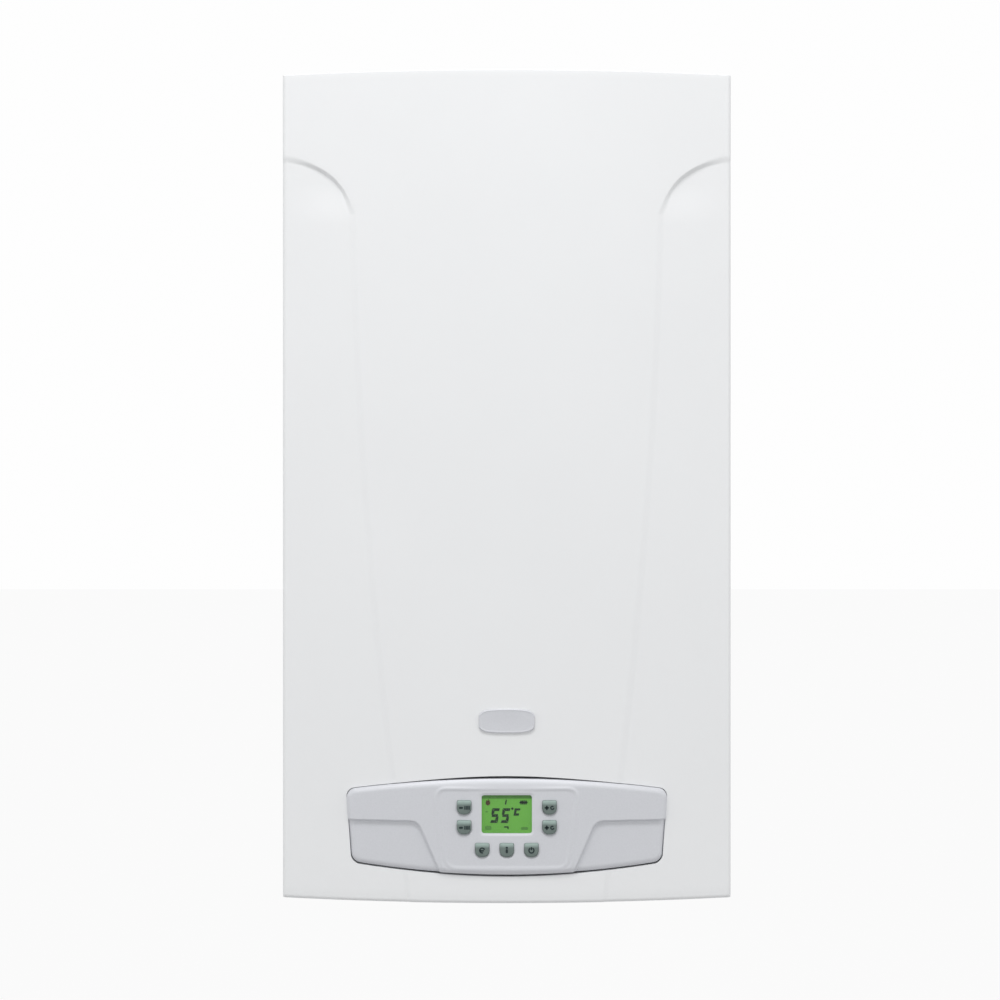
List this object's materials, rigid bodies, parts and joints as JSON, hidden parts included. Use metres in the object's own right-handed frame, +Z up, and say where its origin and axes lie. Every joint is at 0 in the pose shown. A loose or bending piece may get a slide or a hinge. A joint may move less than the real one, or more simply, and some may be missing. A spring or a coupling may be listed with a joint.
{
  "type": "combi boiler",
  "caption": "Wall-hung gas combi boiler: bowed white cover over a sealed fan-flued burner, pump and water groups, with a tilting control box, display and keys.",
  "frame": {"origin": "on the wall face, at the middle of the casing's width and height", "axes": "+X right as seen from the front, -Y out of the wall towards the room, +Z up"},
  "size_m": [0.4, 0.299, 0.768],
  "materials": {
    "white_enamel": "satin powder coat",
    "silver_plastic": "fine satin",
    "galvanised_steel": "spangled zinc",
    "aluminised_steel": "dull",
    "stainless_steel": "bright",
    "copper": "tarnished copper",
    "brass": "machined and cast",
    "cast_aluminium": "as cast",
    "black_plastic": "fine texture",
    "grey_plastic": "fine texture",
    "button_rubber": "soft matt",
    "red_plastic": "gloss",
    "red_enamel": "gloss paint",
    "ceramic_fibre": "felted board",
    "white_ceramic": "glazed",
    "clear_lens": "clear",
    "green_display": "backlit",
    "circuit_board": "solder mask",
    "cast_iron": "painted casting"
  },
  "bodies": {
    "casing": {"side_panel_left": "white_enamel", "side_panel_right": "white_enamel", "back_frame": "galvanised_steel", "connection_plate": "galvanised_steel", "bottom_rail": "galvanised_steel", "air_box": "galvanised_steel", "flue_collar": "cast_aluminium", "air_port_cover": "black_plastic", "fan_housing": "aluminised_steel", "fan_motor": "cast_iron", "flue_hood": "aluminised_steel", "pressure_switch": "black_plastic", "burner": "stainless_steel", "burner_manifold": "cast_aluminium", "combustion_chamber": "aluminised_steel", "insulation_front": "ceramic_fibre", "insulation_back": "ceramic_fibre", "insulation_left": "ceramic_fibre", "insulation_right": "ceramic_fibre", "spark_electrode": "white_ceramic", "flame_electrode": "white_ceramic", "heat_exchanger": "copper", "gas_valve": "cast_aluminium", "gas_inlet_pipe": "brass", "gas_feed_pipe": "cast_aluminium", "expansion_vessel": "red_enamel", "vessel_pipe": "stainless_steel", "flow_group": "brass", "return_group": "brass", "safety_valve": "brass", "pump_housing": "cast_iron", "pump_motor": "black_plastic", "air_vent": "brass", "diverter_motor": "black_plastic", "plate_exchanger": "stainless_steel", "heating_flow_pipe": "copper", "heating_return_pipe": "copper", "pressure_gauge": "black_plastic"},
    "front_cover": {"front_cover": "white_enamel", "badge": "silver_plastic"},
    "air_box_lid": {"air_box_lid": "galvanised_steel", "sight_glass": "clear_lens"},
    "control_box": {"control_box": "black_plastic", "control_box_lid": "black_plastic", "circuit_board": "circuit_board", "display_module": "green_display", "display_window": "clear_lens", "fascia": "silver_plastic"},
    "fan_impeller": {"fan_impeller": "cast_aluminium"},
    "pump_impeller": {"pump_impeller": "grey_plastic"},
    "gauge_needle": {"gauge_needle": "red_plastic"},
    "safety_valve_knob": {"safety_valve_knob": "red_plastic"},
    "fill_tap_knob": {"fill_tap_knob": "black_plastic"},
    "button_upper_left": {"button_upper_left": "button_rubber"},
    "button_lower_left": {"button_lower_left": "button_rubber"},
    "button_upper_right": {"button_upper_right": "button_rubber"},
    "button_lower_right": {"button_lower_right": "button_rubber"},
    "button_bottom_left": {"button_bottom_left": "button_rubber"},
    "button_bottom_middle": {"button_bottom_middle": "button_rubber"},
    "button_bottom_right": {"button_bottom_right": "button_rubber"}
  },
  "joints": [
    {"name": "front_cover_lift_off", "type": "slide", "parent": "casing", "child": "front_cover", "axis": [0, -1, 0], "range_m": [0, 0.35]},
    {"name": "air_box_lid_lift_off", "type": "slide", "parent": "casing", "child": "air_box_lid", "axis": [0, -1, 0], "range_m": [0, 0.175]},
    {"name": "control_box_tilt", "type": "hinge", "parent": "casing", "child": "control_box", "pos_m": [0, -0.275, -0.354], "axis": [1, 0, 0], "range_deg": [0, 90]},
    {"name": "fan_spin", "type": "hinge", "parent": "casing", "child": "fan_impeller", "pos_m": [-0.04, -0.147, 0.294], "axis": [0, 1, 0], "continuous": true},
    {"name": "pump_spin", "type": "hinge", "parent": "casing", "child": "pump_impeller", "pos_m": [0.118, -0.108, -0.235], "axis": [0, 1, 0], "continuous": true},
    {"name": "gauge_needle_turn", "type": "hinge", "parent": "casing", "child": "gauge_needle", "pos_m": [0.022, -0.138, -0.354], "axis": [0, 0, 1], "range_deg": [0, 270], "stiffness_Nm_per_rad": 0.0002},
    {"name": "safety_valve_turn", "type": "hinge", "parent": "casing", "child": "safety_valve_knob", "pos_m": [-0.13, -0.148, -0.318], "axis": [0, 1, 0], "range_deg": [0, 90]},
    {"name": "fill_tap_turn", "type": "hinge", "parent": "casing", "child": "fill_tap_knob", "pos_m": [0.097, -0.13, -0.36], "axis": [0, 0, 1], "range_deg": [0, 720]},
    {"name": "button_upper_left_press", "type": "slide", "parent": "control_box", "child": "button_upper_left", "axis": [0, 1, 0], "range_m": [0, 0.0012], "stiffness_N_per_m": 500, "springref_m": -0.001},
    {"name": "button_lower_left_press", "type": "slide", "parent": "control_box", "child": "button_lower_left", "axis": [0, 1, 0], "range_m": [0, 0.0012], "stiffness_N_per_m": 500, "springref_m": -0.001},
    {"name": "button_upper_right_press", "type": "slide", "parent": "control_box", "child": "button_upper_right", "axis": [0, 1, 0], "range_m": [0, 0.0012], "stiffness_N_per_m": 500, "springref_m": -0.001},
    {"name": "button_lower_right_press", "type": "slide", "parent": "control_box", "child": "button_lower_right", "axis": [0, 1, 0], "range_m": [0, 0.0012], "stiffness_N_per_m": 500, "springref_m": -0.001},
    {"name": "button_bottom_left_press", "type": "slide", "parent": "control_box", "child": "button_bottom_left", "axis": [0, 1, 0], "range_m": [0, 0.0012], "stiffness_N_per_m": 500, "springref_m": -0.001},
    {"name": "button_bottom_middle_press", "type": "slide", "parent": "control_box", "child": "button_bottom_middle", "axis": [0, 1, 0], "range_m": [0, 0.0012], "stiffness_N_per_m": 500, "springref_m": -0.001},
    {"name": "button_bottom_right_press", "type": "slide", "parent": "control_box", "child": "button_bottom_right", "axis": [0, 1, 0], "range_m": [0, 0.0012], "stiffness_N_per_m": 500, "springref_m": -0.001}
  ],
  "couplings": [
    {"joint": "air_box_lid_lift_off", "follows": "front_cover_lift_off", "ratio": 0.5},
    {"joint": "control_box_tilt", "follows": "front_cover_lift_off", "rad_per_m": 4.487}
  ]
}
